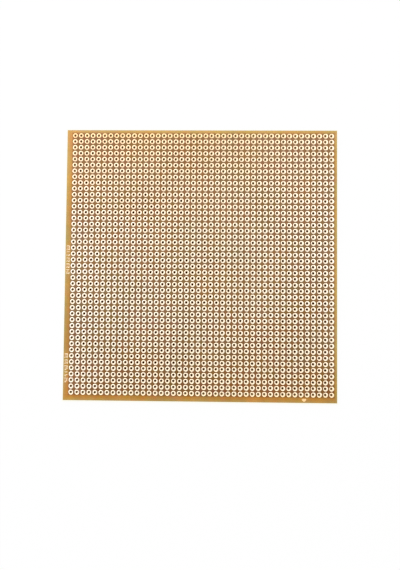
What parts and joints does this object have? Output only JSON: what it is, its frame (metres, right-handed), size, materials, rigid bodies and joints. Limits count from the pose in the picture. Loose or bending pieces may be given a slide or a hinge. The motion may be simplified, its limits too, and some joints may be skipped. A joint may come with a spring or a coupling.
{
  "type": "prototype board",
  "caption": "Square single-sided prototyping board: punched tan laminate with a round tinned pad at every hole.",
  "frame": {"origin": "centre of the board's outline on its underside, the bare side that components stand on", "axes": "+Z from the bare underside to the pads, +X along a row of holes to the right, +Y towards row 1"},
  "size_m": [0.115, 0.115, 0.0017],
  "materials": {
    "laminate": "golden tan phenolic paper laminate, satin, faintly mottled, sheared edges",
    "tinned_foil": "hot-tinned copper foil, warm silver, softly bright"
  },
  "bodies": {
    "root": {"laminate": "laminate", "pad_row_01": "tinned_foil", "pad_row_02": "tinned_foil", "pad_row_03": "tinned_foil", "pad_row_04": "tinned_foil", "pad_row_05": "tinned_foil", "pad_row_06": "tinned_foil", "pad_row_07": "tinned_foil", "pad_row_08": "tinned_foil", "pad_row_09": "tinned_foil", "pad_row_10": "tinned_foil", "pad_row_11": "tinned_foil", "pad_row_12": "tinned_foil", "pad_row_13": "tinned_foil", "pad_row_14": "tinned_foil", "pad_row_15": "tinned_foil", "pad_row_16": "tinned_foil", "pad_row_17": "tinned_foil", "pad_row_18": "tinned_foil", "pad_row_19": "tinned_foil", "pad_row_20": "tinned_foil", "pad_row_21": "tinned_foil", "pad_row_22": "tinned_foil", "pad_row_23": "tinned_foil", "pad_row_24": "tinned_foil", "pad_row_25": "tinned_foil", "pad_row_26": "tinned_foil", "pad_row_27": "tinned_foil", "pad_row_28": "tinned_foil", "pad_row_29": "tinned_foil", "pad_row_30": "tinned_foil", "pad_row_31": "tinned_foil", "pad_row_32": "tinned_foil", "pad_row_33": "tinned_foil", "pad_row_34": "tinned_foil", "pad_row_35": "tinned_foil", "pad_row_36": "tinned_foil", "pad_row_37": "tinned_foil", "pad_row_38": "tinned_foil", "pad_row_39": "tinned_foil", "pad_row_40": "tinned_foil", "pad_row_41": "tinned_foil", "pad_row_42": "tinned_foil", "pad_row_43": "tinned_foil", "pad_row_44": "tinned_foil", "row_numbers_middle": "tinned_foil", "row_numbers_lower": "tinned_foil", "spot_mark": "tinned_foil"}
  },
  "joints": []
}
